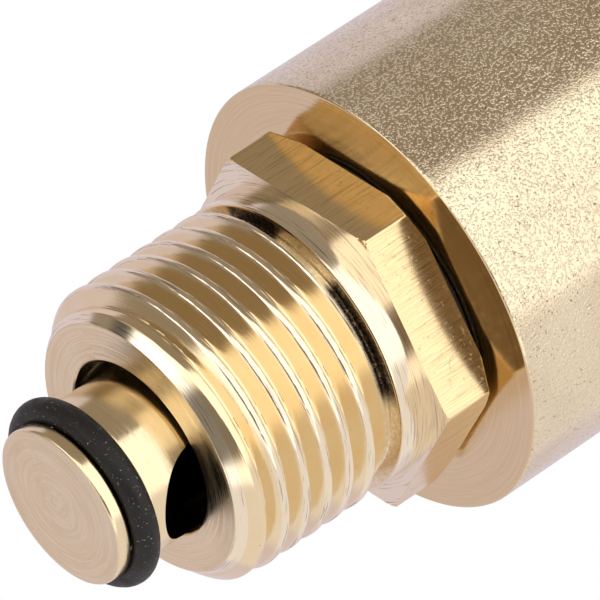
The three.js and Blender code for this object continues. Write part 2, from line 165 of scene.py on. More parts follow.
def make_world():
    world = bpy.data.worlds.new("studio")
    world.use_nodes = True
    bpy.context.scene.world = world
    n = Nodes(world.node_tree)
    back, right, _ = view_axes()
    towards = Vector((back.x, back.y, 0)).normalized()
    ray = n.add("ShaderNodeTexCoord").outputs["Generated"]

    def side_of(plane, softness):
        normal = towards * plane[0] + right * plane[1] + Vector((0, 0, plane[2]))
        along = n.vector("DOT_PRODUCT", ray, tuple(normal.normalized()))
        return n.steps(along, -softness, softness)

    lit = side_of(STRIP_EDGE, STRIP_SOFTNESS)
    beside = side_of(SIDE_EDGE, SIDE_SOFTNESS)
    near = n.mix(lit, DIM_LIGHT, STRIP_LIGHT)
    far = n.mix(lit, BACK_LIGHT, SIDE_LIGHT)
    colour = n.mix(beside, near, far)
    for spot, half_angle, light in SPOTS:
        aim = towards * spot[0] + right * spot[1] + Vector((0, 0, spot[2]))
        facing = n.vector("DOT_PRODUCT", ray, tuple(aim.normalized()))
        inner = math.cos(math.radians(half_angle - SPOT_SOFTNESS))
        outer = math.cos(math.radians(half_angle + SPOT_SOFTNESS))
        colour = n.mix(n.steps(facing, outer, inner), colour, light)
    seen = n.add("ShaderNodeLightPath").outputs["Is Camera Ray"]
    shade = n.add("ShaderNodeBackground", {"Color": n.mix(seen, colour, (1, 1, 1, 1))})
    n.add("ShaderNodeOutputWorld", {"Surface": shade.outputs[0]})


FLOOR_SIZE, FLOOR_HEIGHT = 14, -1.7  # far enough below for a camera that looks up at the vent's end
LAMP_PLACE, LAMP_SIZE, LAMP_POWER = (0.3, 0.4, 1.6), 1.2, 5


def make_stage():
    """A pale floor and a soft lamp overhead, neither of them mirrored in the brass."""
    bpy.ops.mesh.primitive_plane_add(size=FLOOR_SIZE, location=(0, 0, FLOOR_HEIGHT))
    floor = bpy.context.object
    floor.name = "floor"
    floor.visible_glossy = False
    material = bpy.data.materials.new("floor_white")
    material.use_nodes = True
    n = Nodes(material.node_tree)
    grain = n.noise(n.add("ShaderNodeTexCoord").outputs["Object"], 3.0)
    colour = n.mix(grain, (0.86, 0.86, 0.85, 1), (0.9, 0.9, 0.9, 1))
    paint = n.add("ShaderNodeBsdfPrincipled", {"Base Color": colour, "Roughness": 0.8})
    n.add("ShaderNodeOutputMaterial", {"Surface": paint.outputs[0]})
    floor.data.materials.append(material)
    data = bpy.data.lights.new("overhead", "AREA")
    data.shape, data.size, data.energy = "DISK", LAMP_SIZE, LAMP_POWER
    lamp = bpy.data.objects.new("overhead", data)
    lamp.location = LAMP_PLACE
    lamp.rotation_euler = (-lamp.location).to_track_quat("-Z", "Y").to_euler()
    lamp.visible_glossy = False
    bpy.context.scene.collection.objects.link(lamp)


# ---------- materials ----------

BRASS = (0.86, 0.72, 0.49, 1)
BRASS_DEEP = (0.84, 0.66, 0.41, 1)
BRASS_PALE = (0.9, 0.79, 0.62, 1)


def new_material(name):
    material = bpy.data.materials.new(name)
    material.use_nodes = True
    return material, Nodes(material.node_tree)


def finish_metal(n, colour, roughness, height, depth, **constants):
    inputs = {"Base Color": colour, "Metallic": 1.0, "Roughness": roughness}
    bump = n.add("ShaderNodeBump", {"Height": height, "Distance": depth, "Strength": 1.0})
    inputs["Normal"] = bump.outputs[0]
    inputs.update(constants)
    shader = n.add("ShaderNodeBsdfPrincipled", inputs)
    n.add("ShaderNodeOutputMaterial", {"Surface": shader.outputs[0]})


def point_mm(n):
    """The place on a piece, in millimetres."""
    point = n.add("ShaderNodeTexCoord").outputs["Object"]
    return n.add("ShaderNodeVectorMath", {0: point, 3: 1 / MM}, operation="SCALE").outputs[0]


def about_axis(n, point):
    """(radius, turn, height) of a point about the vent's axis, in millimetres and turns."""
    x, y, z = n.add("ShaderNodeSeparateXYZ", {0: point}).outputs
    radius = n.vector("LENGTH", n.add("ShaderNodeCombineXYZ", {0: x, 1: y}).outputs[0])
    turn = n.math("DIVIDE", n.math("ARCTAN2", y, x), 2 * math.pi)
    return radius, turn, z


def turned_brass(name, mark_scale=9.0, mark_depth=0.000003, roughness=0.13, pale_beyond=None):
    """Brass from the lathe: fine rings round the axis, faint stains, a little dust in the marks.

    Past the radius pale_beyond the metal is paler from handling, with dark lines left by the tool."""
    material, n = new_material(name)
    point = point_mm(n)
    radius, turn, z = about_axis(n, point)
    along = n.math("MULTIPLY", turn, 1.3)
    rings = n.add("ShaderNodeCombineXYZ", {0: radius, 1: along, 2: z}).outputs[0]
    marks = n.noise(rings, mark_scale, 4.0, 0.65)
    stain = n.noise(point, 0.35, 3.0)
    colour = n.mix(n.steps(stain, 0.35, 0.75, 0.0, 0.55), BRASS, BRASS_DEEP)
    if pale_beyond is not None:
        outer = n.steps(radius, pale_beyond - 0.15, pale_beyond + 0.05)
        colour = n.mix(outer, colour, BRASS_PALE)
        line = n.steps(n.noise(rings, mark_scale * 1.3, 2.0, 0.6), 0.58, 0.66)
        line = n.math("MULTIPLY", line, n.math("MULTIPLY", outer, 0.6))
        colour = n.mix(line, colour, (0.2, 0.14, 0.08, 1))
    speck = n.steps(n.noise(point, 4.5, 3.0, 0.7), 0.68, 0.73)
    colour = n.mix(n.math("MULTIPLY", speck, 0.6), colour, (0.26, 0.17, 0.09, 1))
    rough = n.steps(marks, 0.3, 0.75, roughness * 0.7, roughness * 1.7)
    finish_metal(n, colour, rough, marks, mark_depth)
    return material


def drawn_brass(name):
    """Hexagon bar: straight scratches along the axis, as it was drawn, with small dents."""
    material, n = new_material(name)
    point = point_mm(n)
    stretched = n.vector("MULTIPLY", point, (1, 1, 0.045))
    fine = n.noise(stretched, 9.0, 4.0, 0.7)
    coarse = n.steps(n.noise(stretched, 3.2, 3.0), 0.52, 0.62)
    pits = n.steps(n.noise(point, 3.4, 4.0, 0.7), 0.62, 0.7)
    height = n.math("SUBTRACT", n.math("ADD", fine, n.math("MULTIPLY", coarse, 0.5)), pits)
    colour = n.mix(n.steps(fine, 0.35, 0.7), (0.86, 0.69, 0.42, 1), (0.78, 0.58, 0.32, 1))
    scratch = n.steps(n.noise(stretched, 6.0, 3.0), 0.57, 0.63)
    colour = n.mix(n.math("MULTIPLY", scratch, 0.4), colour, (0.42, 0.29, 0.14, 1))
    colour = n.mix(n.math("MULTIPLY", pits, 0.4), colour, (0.35, 0.25, 0.14, 1))
    rough = n.steps(fine, 0.3, 0.7, 0.1, 0.22)
    finish_metal(n, colour, rough, height, 0.000005)
    return material


def faced_brass(name):
    """The cylinder's turned bottom face: fine rings, and the lathe's wider feed marks."""
    material, n = new_material(name)
    radius, turn, _ = about_axis(n, point_mm(n))
    rings = n.add("ShaderNodeCombineXYZ", {0: radius, 1: n.math("MULTIPLY", turn, 0.9)}).outputs[0]
    fine = n.noise(rings, 8.0, 5.0, 0.75)
    broad = n.noise(rings, 1.6, 2.0)
    height = n.math("ADD", fine, n.math("MULTIPLY", broad, 1.2))
    colour = n.mix(n.steps(fine, 0.3, 0.75), (0.8, 0.64, 0.4, 1), (0.7, 0.53, 0.31, 1))
    rough = n.steps(broad, 0.3, 0.7, 0.08, 0.15)
    around = n.add("ShaderNodeTangent", direction_type="RADIAL", axis="Z").outputs[0]
    finish_metal(n, colour, rough, height, 0.000005, Anisotropic=0.5, Tangent=around)
    return material


def blasted_brass(name):
    """Cast brass, blasted with grit: sparse grains about 0.2 mm across, with fine dark pits between."""
    material, n = new_material(name)
    point = point_mm(n)
    grain = n.steps(n.noise(point, 5.7, 1.5, 0.5), 0.52, 0.66)
    fine = n.noise(point, 8.0, 1.0, 0.5)
    height = n.math("ADD", grain, n.math("MULTIPLY", fine, 0.25))
    cloud = n.noise(point, 0.15, 3.0)
    colour = n.mix(n.steps(cloud, 0.3, 0.7), (0.84, 0.73, 0.54, 1), (0.78, 0.66, 0.48, 1))
    pits = n.steps(n.noise(point, 4.6, 2.0, 0.75), 0.64, 0.7)
    colour = n.mix(n.math("MULTIPLY", pits, 0.75), colour, (0.1, 0.075, 0.05, 1))
    height = n.math("SUBTRACT", height, n.math("MULTIPLY", pits, 0.5))
    rough = n.steps(fine, 0.3, 0.7, 0.08, 0.16)
    finish_metal(n, colour, rough, height, 0.000034)
    return material


def darkened_groove_brass(name):
    """The runout groove behind the thread: pale brass, darkened in two places: a patch, and a line of
    painted shade just under the collar.
    """
    material, n = new_material(name)
    point = point_mm(n)
    _, turn, z = about_axis(n, point)
    film = n.noise(point, 3.0, 4.0, 0.7)
    patch = n.math("MULTIPLY", n.steps(turn, -0.497, -0.485), n.steps(turn, -0.42, -0.408, 1.0, 0.0))
    # painted shade: a dark line along the top of the groove, where the collar overhangs it
    line = n.math("MULTIPLY", n.steps(turn, -0.34, -0.32), n.steps(turn, -0.2, -0.17, 1.0, 0.0))
    line = n.math("MULTIPLY", line, n.steps(z, 12.3, 12.45))
    darkening = n.math("MULTIPLY", n.math("MAXIMUM", patch, line), n.steps(film, 0.34, 0.5, 0.75, 1.0))
    plain_colour = n.mix(n.steps(film, 0.35, 0.65), BRASS_PALE, BRASS)
    # near-black brown for the patch and for the painted shade under the collar
    dark_colour = n.mix(n.steps(film, 0.5, 0.68), (0.03, 0.022, 0.016, 1), (0.35, 0.26, 0.17, 1))
    colour = n.mix(darkening, plain_colour, dark_colour)
    finish_metal(n, colour, n.steps(film, 0.3, 0.7, 0.16, 0.4), film, 0.000012)
    return material


def painted_shade_brass(name):
    """Inside the valve: brass painted nearly black, as painted shade for the deep bore, the plunger's hollow
    and its window.
    """
    material, n = new_material(name)
    point = point_mm(n)
    film = n.noise(point, 1.2, 4.0, 0.6)
    # painted shade: near-black brass in place of the shade inside the bore
    colour = n.mix(film, (0.03, 0.022, 0.014, 1), (0.07, 0.05, 0.03, 1))
    finish_metal(n, colour, n.steps(film, 0.3, 0.7, 0.25, 0.5), film, 0.00001)
    return material


def black_rubber(name):
    """Seal rubber: dull, with dust and a few pale specks."""
    material, n = new_material(name)
    point = point_mm(n)
    dust = n.noise(point, 1.1, 4.0, 0.6)
    speck = n.steps(n.noise(point, 5.5, 3.0, 0.7), 0.65, 0.69)
    colour = n.mix(dust, (0.008, 0.008, 0.008, 1), (0.026, 0.024, 0.023, 1))
    colour = n.mix(n.math("MULTIPLY", speck, 0.8), colour, (0.5, 0.48, 0.45, 1))
    grain = n.noise(point, 6.0, 3.0, 0.7)
    bump = n.add("ShaderNodeBump", {"Height": grain, "Distance": 0.00001, "Strength": 0.8})
    inputs = {"Base Color": colour, "Normal": bump.outputs[0]}
    inputs["Roughness"] = n.steps(dust, 0.3, 0.7, 0.38, 0.6)
    inputs["Specular IOR Level"] = 0.27
    shader = n.add("ShaderNodeBsdfPrincipled", inputs)
    n.add("ShaderNodeOutputMaterial", {"Surface": shader.outputs[0]})
    return material


def moulded_plastic(name, low, high, roughness=0.42, grain_scale=4.5):
    """Moulded plastic with a fine spark-eroded grain, its colour between low and high."""
    material, n = new_material(name)
    point = point_mm(n)
    grain = n.noise(point, grain_scale, 3.0, 0.6)
    colour = n.mix(n.noise(point, 0.4, 3.0), low, high)
    bump = n.add("ShaderNodeBump", {"Height": grain, "Distance": 0.000012, "Strength": 0.7})
    inputs = {"Base Color": colour, "Normal": bump.outputs[0]}
    inputs["Roughness"] = n.steps(grain, 0.3, 0.7, roughness - 0.07, roughness + 0.1)
    shader = n.add("ShaderNodeBsdfPrincipled", inputs)
    n.add("ShaderNodeOutputMaterial", {"Surface": shader.outputs[0]})
    return material


def stainless_steel(name):
    """Wire, pins and screws: bright, with a fine grain."""
    material, n = new_material(name)
    point = point_mm(n)
    grain = n.noise(point, 6.0, 4.0, 0.7)
    colour = n.mix(grain, (0.5, 0.5, 0.51, 1), (0.66, 0.66, 0.67, 1))
    finish_metal(n, colour, n.steps(grain, 0.3, 0.7, 0.18, 0.34), grain, 0.000004)
    return material


# ---------- meshes ----------

SHARP = math.radians(31)


def mesh(name, vertices, faces, materials, face_materials=None):
    """A shown piece from points in millimetres."""
    data = bpy.data.meshes.new(name)
    data.from_pydata([tuple(v) for v in np.asarray(vertices) * MM], [], faces)
    used = list(dict.fromkeys(materials))
    for material in used:
        data.materials.append(material)
    if face_materials is not None:
        numbers = [used.index(material) for material in materials]
        data.polygons.foreach_set("material_index", [numbers[k] for k in face_materials])
    data.polygons.foreach_set("use_smooth", [True] * len(faces))
    data.set_sharp_from_angle(angle=SHARP)
    data.validate()
    data.update()
    piece = bpy.data.objects.new(name, data)
    bpy.context.scene.collection.objects.link(piece)
    return piece


def even_turns(count):
    return np.arange(count) * 2 * math.pi / count


class Outline:
    """Rows of (radius, height), and the material number of the band that each row starts."""

    def __init__(self):
        self.rows, self.kinds = [], []

    def add(self, kind, *rows):
        self.rows += rows
        self.kinds += [kind] * len(rows)

    def join(self, other):
        self.rows += other.rows
        self.kinds += other.kinds


def ring_solid(name, outline, turns, materials, centre=(0, 0)):
    """A closed surface from an outline, whose radii are each a number or one number for each turn.

    The outline goes up the outside and down the inside, and its last row joins the first."""
    rows, kinds = outline.rows, outline.kinds
    count = len(turns)
    cosine, sine = np.cos(turns), np.sin(turns)
    vertices = np.empty((len(rows), count, 3))
    for i, (radius, height) in enumerate(rows):
        vertices[i, :, 0] = centre[0] + radius * cosine
        vertices[i, :, 1] = centre[1] + radius * sine
        vertices[i, :, 2] = height
    faces, numbers = [], []
    for i in range(len(rows)):
        k = (i + 1) % len(rows)
        for j in range(count):
            m = (j + 1) % count
            faces.append((i * count + j, i * count + m, k * count + m, k * count + j))
        numbers += [kinds[i]] * count
    return mesh(name, vertices.reshape(-1, 3), faces, materials, numbers)


def rounded(corners, arc_steps=4, support=0.06):
    """The outline through (radius, height, rounding, kind) corners, with its corners rounded.

    Rows beside each rounding keep the flats flat."""
    outline = Outline()
    total = len(corners)
    for i, (r, z, rounding, kind) in enumerate(corners):
        here = np.array((r, z), float)
        before = np.array(corners[i - 1][:2], float) - here
        after = np.array(corners[(i + 1) % total][:2], float) - here
        room = min(np.linalg.norm(before), np.linalg.norm(after)) / 2
        before /= np.linalg.norm(before)
        after /= np.linalg.norm(after)
        half = math.acos(max(-1, min(1, before @ after))) / 2
        reach = min(rounding / math.tan(half), room * 0.8) if rounding else 0
        last_kind = corners[i - 1][3]
        if reach <= 0:
            outline.add(kind, tuple(here))
            continue
        radius = reach * math.tan(half)
        middle = here + (before + after) / np.linalg.norm(before + after) * (radius / math.sin(half))
        start, end = here + before * reach, here + after * reach
        margin = min(support, room - reach)
        if margin > 1e-4:
            outline.add(last_kind, tuple(start + before * margin))
        a0 = math.atan2(*(start - middle)[::-1])
        a1 = math.atan2(*(end - middle)[::-1])
        sweep = (a1 - a0 + math.pi) % (2 * math.pi) - math.pi
        for step in range(arc_steps + 1):
            a = a0 + sweep * step / arc_steps
            spot = (middle[0] + radius * math.cos(a), middle[1] + radius * math.sin(a))
            outline.add(last_kind if step < arc_steps / 2 else kind, spot)
        if margin > 1e-4:
            outline.add(kind, tuple(end + after * margin))
    return outline


def turned_piece(name, corners, materials, segments=144, centre=(0, 0), arc_steps=4):
    return ring_solid(name, rounded(corners, arc_steps), even_turns(segments), materials, centre)


def combine(piece, others, operation):
    """Joins or cuts piece with others, which go."""
    for other in others:
        modifier = piece.modifiers.new(operation, "BOOLEAN")
        modifier.operation = operation
        modifier.solver = "MANIFOLD"
        modifier.object = other
        bpy.context.view_layer.update()
        evaluated = piece.evaluated_get(bpy.context.evaluated_depsgraph_get())
        result = bpy.data.meshes.new_from_object(evaluated)
        piece.modifiers.clear()
        old = piece.data
        piece.data = result
        bpy.data.meshes.remove(old)
        bpy.data.objects.remove(other)
    piece.data.polygons.foreach_set("use_smooth", [True] * len(piece.data.polygons))
    piece.data.set_sharp_from_angle(angle=SHARP)
    return piece


def cylinder(name, radius, low, high, axis, centre, material, segments=96):
    """A closed cylinder along axis, from low to high past centre, for cutting holes."""
    axis = Vector(axis).normalized()
    side = axis.orthogonal().normalized()
    up = axis.cross(side)
    vertices = []
    for along in (low, high):
        for a in even_turns(segments):
            spoke = side * math.cos(a) + up * math.sin(a)
            vertices.append(Vector(centre) + axis * along + spoke * radius)
    faces = [tuple(reversed(range(segments))), tuple(range(segments, 2 * segments))]
    for j in range(segments):
        m = (j + 1) % segments
        faces.append((j, m, segments + m, segments + j))
    return mesh(name, vertices, faces, [material])


def thread_radius(turns, height, crest, root, pitch, start):
    """Radius of a right-hand thread at a height, for every turn angle, with its corners eased.

    start is the height of the middle of a crest on the +X side."""
    crest_part, root_part, soften = 0.2, 0.12, 0.05  # parts of the pitch, and of a flank
    phase = ((height - start) / pitch - turns / (2 * math.pi)) % 1.0
    from_crest = np.abs((phase + 0.5) % 1.0 - 0.5)  # 0 in the middle of a crest, 0.5 in the root's
    flank = 0.5 - crest_part / 2 - root_part / 2
    t = (from_crest - crest_part / 2) / flank
    low = 0.5 * (t + np.sqrt(t * t + soften * soften))
    eased = low + 0.5 * ((1 - low) - np.sqrt((1 - low) ** 2 + soften * soften))
    return crest - (crest - root) * np.clip(eased, 0, 1)


def crest_below(turns, height, pitch, start):
    """Height of the nearest crest's middle, for every turn angle."""
    phase = start + pitch * turns / (2 * math.pi)
    return phase + pitch * np.round((height - phase) / pitch)


def hexagon_radius(turns, across, rounding=0.22):
    """Radius of a hexagon with two flats square to Y, at every turn angle."""
    flat = across / 2
    away = np.abs((np.degrees(turns) + 90 + 30) % 60 - 30)
    phi = np.radians(away)
    middle = (flat - rounding) / math.cos(math.radians(30))
    limit = math.atan((flat - rounding) * math.tan(math.radians(30)) / flat)
    delta = math.radians(30) - phi
    inside = np.maximum(rounding**2 - (middle * np.sin(delta)) ** 2, 0)
    corner = middle * np.cos(delta) + np.sqrt(inside)
    return np.where(phi < limit, flat / np.cos(phi), corner)


def hexagon_turns(count):
    """Turn angles that fall closer together at a hexagon's corners."""
    turns = list(np.degrees(even_turns(count)))
    for corner in range(0, 360, 60):
        turns += [corner + d for d in (-1.5, -1.0, -0.7, -0.45, -0.2, 0.2, 0.45, 0.7, 1.0, 1.5)]
    return np.radians(np.unique(np.round(np.array(turns) % 360, 3)))


def soft_min(a, b, width):
    """The smaller of a and b, with the change from one to the other eased over width."""
    return 0.5 * (a + b - np.sqrt((a - b) ** 2 + width**2))


# ---------- places from the frame ----------


def corners_mm(node):
    low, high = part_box(node)
    return np.array(low) / MM, np.array(high) / MM


VALVE_TOP = corners_mm("valve_body")[1][2]
HEX_ACROSS = corners_mm("valve_body")[1][1] * 2
SHUTTER_LOW, SHUTTER_HIGH = corners_mm("shutter")
LEAN = (SHUTTER_LOW + SHUTTER_HIGH) / 2
RING_LOW, RING_HIGH = corners_mm("shutter_oring")
BODY_LOW, BODY_HIGH = corners_mm("vent_body")
GASKET_LOW, GASKET_HIGH = corners_mm("body_gasket")

INLET_CREST, INLET_ROOT, INLET_PITCH = 10.4775, 9.3155, 1.814  # G 1/2
INLET_START = 1.25 + 0.0833 * INLET_PITCH
THREAD_TOP, RELIEF_TOP, RELIEF_R = 11.6, 12.75, 9.3
COLLAR_R, COLLAR_TOP = 10.45, 14.65
HEX_CHAMFER_LOW = VALVE_TOP - 0.6
FACE_R, CHAMFER_TOP = 8.9, 0.55
GUIDE_R, GUIDE_TOP, CHAMBER_R, CHAMBER_TOP, TAIL_BORE_R = 6.2, 3.5, 7.45, 9.2, 8.33
HEX_CORNER = HEX_ACROSS / math.sqrt(3)
CORNER_CUT = math.tan(math.radians(30))  # slope of the cone that takes a hexagon's corners off


def valve_body(materials):
    """Thread, relief, collar, hexagon and bore in one surface."""
    face, chamfer, thread, groove, collar, facet, top, bore, guide = range(9)
    turns = hexagon_turns(288)
    hexagon = hexagon_radius(turns, HEX_ACROSS)
    outline = Outline()

    def threaded(limit, height):
        radius = thread_radius(turns, height, INLET_CREST, INLET_ROOT, INLET_PITCH, INLET_START)
        return soft_min(radius, limit, 0.03), height

    outline.add(
        face, (GUIDE_R + 0.22, 0), (GUIDE_R + 0.3, 0), (FACE_R - 0.15, 0), (FACE_R - 0.05, 0),
        (FACE_R - 0.01, 0.005),
    )
    # a 45 degree chamfer; where it cuts a crest, the crest goes on from there without rising
    for height in np.arange(0.02, THREAD_TOP - 0.02, 0.046):
        middle = np.maximum(crest_below(turns, height, INLET_PITCH, INLET_START), 0)
        land = soft_min(height, np.maximum(middle + 0.04, 0.3), 0.03)
        outline.add(chamfer if height < CHAMFER_TOP else thread, threaded(FACE_R + land, height))
    for limit in np.linspace(INLET_CREST, RELIEF_R + 0.05, 8):
        outline.add(thread, threaded(limit, THREAD_TOP))
    outline.add(
        groove, (RELIEF_R, THREAD_TOP + 0.08), (RELIEF_R, THREAD_TOP + 0.15), (RELIEF_R, RELIEF_TOP - 0.2),
        (RELIEF_R, RELIEF_TOP - 0.12), (RELIEF_R + 0.02, RELIEF_TOP - 0.05), (RELIEF_R + 0.1, RELIEF_TOP),
        (RELIEF_R + 0.3, RELIEF_TOP),
    )
    outline.add(
        collar, (COLLAR_R - 0.2, RELIEF_TOP), (COLLAR_R - 0.12, RELIEF_TOP),
        (COLLAR_R - 0.03, RELIEF_TOP + 0.04), (COLLAR_R, RELIEF_TOP + 0.13), (COLLAR_R, RELIEF_TOP + 0.2),
        (COLLAR_R, COLLAR_TOP - 0.1), (COLLAR_R, COLLAR_TOP - 0.05), (COLLAR_R, COLLAR_TOP),
    )
    under_edge = np.minimum(hexagon, HEX_CORNER - 0.3)
    for part in (0.05, 0.12, 0.5, 0.9):
        outline.add(collar, (COLLAR_R + (under_edge - COLLAR_R) * part, COLLAR_TOP))
    outline.add(
        facet, (under_edge - 0.02, COLLAR_TOP + 0.005),
        (soft_min(hexagon, HEX_CORNER - 0.15, 0.04), COLLAR_TOP + 0.06),
        (soft_min(hexagon, HEX_CORNER, 0.04), COLLAR_TOP + 0.14),
        (hexagon, COLLAR_TOP + 0.22), (hexagon, HEX_CHAMFER_LOW - 0.1),
    )
    for height in np.linspace(HEX_CHAMFER_LOW, VALVE_TOP - 0.06, 18):
        cone = HEX_CORNER - (height - HEX_CHAMFER_LOW) / CORNER_CUT
        outline.add(facet, (soft_min(hexagon, cone, 0.03), height))
    edge = outline.rows[-1][0]
    outline.add(top, (edge - 0.03, VALVE_TOP - 0.015), (edge - 0.08, VALVE_TOP), (edge - 0.15, VALVE_TOP))
    outline.add(
        bore, (TAIL_BORE_R + 0.6, VALVE_TOP), (TAIL_BORE_R + 0.55, VALVE_TOP - 0.04),
        (TAIL_BORE_R, VALVE_TOP - 0.4), (TAIL_BORE_R, CHAMBER_TOP), (CHAMBER_R, CHAMBER_TOP),
        (CHAMBER_R, GUIDE_TOP),
    )
    outline.add(guide, (GUIDE_R, GUIDE_TOP), (GUIDE_R, 1.2), (GUIDE_R, 0.3), (GUIDE_R, 0.2))
    outline.add(face, (GUIDE_R + 0.02, 0.12), (GUIDE_R + 0.12, 0.02))
    return ring_solid("valve_body_fine", outline, turns, materials)


WINDOW_R, WINDOW_HEIGHT, WINDOW_TURN = 3.6, 0.45, math.radians(34)
FLANGE_LOW = 8.2


def shutter(materials):
    """The plunger: head, O-ring groove, stem and flange, hollow, with the cross window cut through."""
    head, rim, stem, inside = range(4)
    bottom, top = SHUTTER_LOW[2], SHUTTER_HIGH[2]
    groove_low, groove_high, groove_r = bottom + 0.95, bottom + 3.0, 4.65
    head_r, stem_r, hollow_r, floor = 5.55, 5.65, 4.2, bottom + 3.5
    flange_r = (SHUTTER_HIGH[0] - SHUTTER_LOW[0]) / 2
    corners = [
        (0.02, bottom, 0, head), (head_r, bottom, 0.2, rim), (head_r, groove_low, 0.1, stem),
        (groove_r, groove_low, 0.15, stem), (groove_r, groove_high, 0.15, stem),
        (stem_r, groove_high, 0.12, stem), (stem_r, FLANGE_LOW, 0.1, stem),
        (flange_r, FLANGE_LOW, 0.12, stem), (flange_r, top, 0.15, stem), (hollow_r, top, 0.15, inside),
        (hollow_r, floor, 0.4, inside), (0.02, floor, 0, inside),
    ]
    piece = turned_piece("shutter_fine", corners, materials, 168, (LEAN[0], LEAN[1]))
    axis = (math.sin(WINDOW_TURN), -math.cos(WINDOW_TURN), 0)
    centre = (LEAN[0], LEAN[1], WINDOW_HEIGHT)
    drill = cylinder("drill", WINDOW_R, -9, 9, axis, centre, materials[inside], 128)
    return combine(piece, [drill], "DIFFERENCE")


def round_seal(name, low, high, material, around=144, across=28):
    """An O-ring that fills a node's box."""
    section = (high[2] - low[2]) / 2
    radius = (high[0] - low[0]) / 2 - section
    centre = (low + high) / 2
    outline = Outline()
    for a in even_turns(across):
        grow = section - 0.01
        outline.add(0, (radius + grow * math.cos(a), centre[2] + grow * math.sin(a)))
    return ring_solid(name, outline, even_turns(around), [material], centre[:2])


def body_gasket(material):
    """A flat rubber ring, squeezed so that its rim bulges."""
    low, high = GASKET_LOW, GASKET_HIGH
    inner, outer = 8.0, (high[0] - low[0]) / 2 - 0.02
    bulge = (high[2] - low[2]) * 0.45
    corners = [
        (inner, low[2], 0.08, 0), (outer, low[2], bulge, 0), (outer, high[2], bulge, 0),
        (inner, high[2], 0.08, 0),
    ]
    return turned_piece("body_gasket_fine", corners, [material], 144, arc_steps=6)


TAIL_CREST, TAIL_ROOT, TAIL_PITCH = 7.98, 7.25, 1.337  # G 3/8, drawn with its clearance
TAIL_THREAD_TOP, TAIL_BORE = 17.8, 4.6
RIM_BORE, RIM_BORE_LOW = 13.9, 57.8
FLOAT_ROOM, FLOAT_ROOM_LOW = 13.2, 22


def vent_body(materials):
    """The cylinder: threaded tail, turned bottom face, blasted wall, rim and float chamber."""
    tail, face, wall, rim, inside = range(5)
    turns = even_turns(180)
    low, high = BODY_LOW[2], BODY_HIGH[2]
    radius = (BODY_HIGH[0] - BODY_LOW[0]) / 2
    bottom = GASKET_HIGH[2] + 0.08
    outline = Outline()
    outline.add(tail, (TAIL_BORE + 0.1, low), (TAIL_ROOT - 0.1, low), (TAIL_ROOT - 0.02, low))
    for z in np.arange(low + 0.02, TAIL_THREAD_TOP, 0.08):
        threads = thread_radius(turns, z, TAIL_CREST, TAIL_ROOT, TAIL_PITCH, 0.4)
        outline.add(tail, (np.minimum(threads, TAIL_ROOT + (z - low)), z))
    outline.add(
        tail, (TAIL_ROOT, TAIL_THREAD_TOP), (TAIL_ROOT, bottom - 0.3), (TAIL_ROOT + 0.05, bottom - 0.08),
    )
    outline.join(rounded([
        (TAIL_ROOT + 0.2, bottom, 0, face), (radius, bottom, 0.17, wall), (radius, high, 0.4, rim),
        (RIM_BORE, high, 0.2, inside), (RIM_BORE, RIM_BORE_LOW, 0.1, inside),
        (FLOAT_ROOM, RIM_BORE_LOW - 0.7, 0.1, inside), (FLOAT_ROOM, FLOAT_ROOM_LOW + 2, 1.5, inside),
        (FLOAT_ROOM - 2, FLOAT_ROOM_LOW, 1.0, inside), (TAIL_BORE, FLOAT_ROOM_LOW, 0.2, inside),
        (TAIL_BORE, low, 0, inside),
    ]))
    return ring_solid("vent_body_fine", outline, turns, materials)


# ---------- the vent above the photograph's edge ----------

COVER_LOW, COVER_HIGH = corners_mm("cover")
NOZZLE_LOW, NOZZLE_HIGH = corners_mm("nozzle")
CAP_LOW, CAP_HIGH = corners_mm("vent_cap")
SEAL_LOW, SEAL_HIGH = corners_mm("cap_seal")
NOZZLE_X = (SEAL_LOW[0] + SEAL_HIGH[0]) / 2


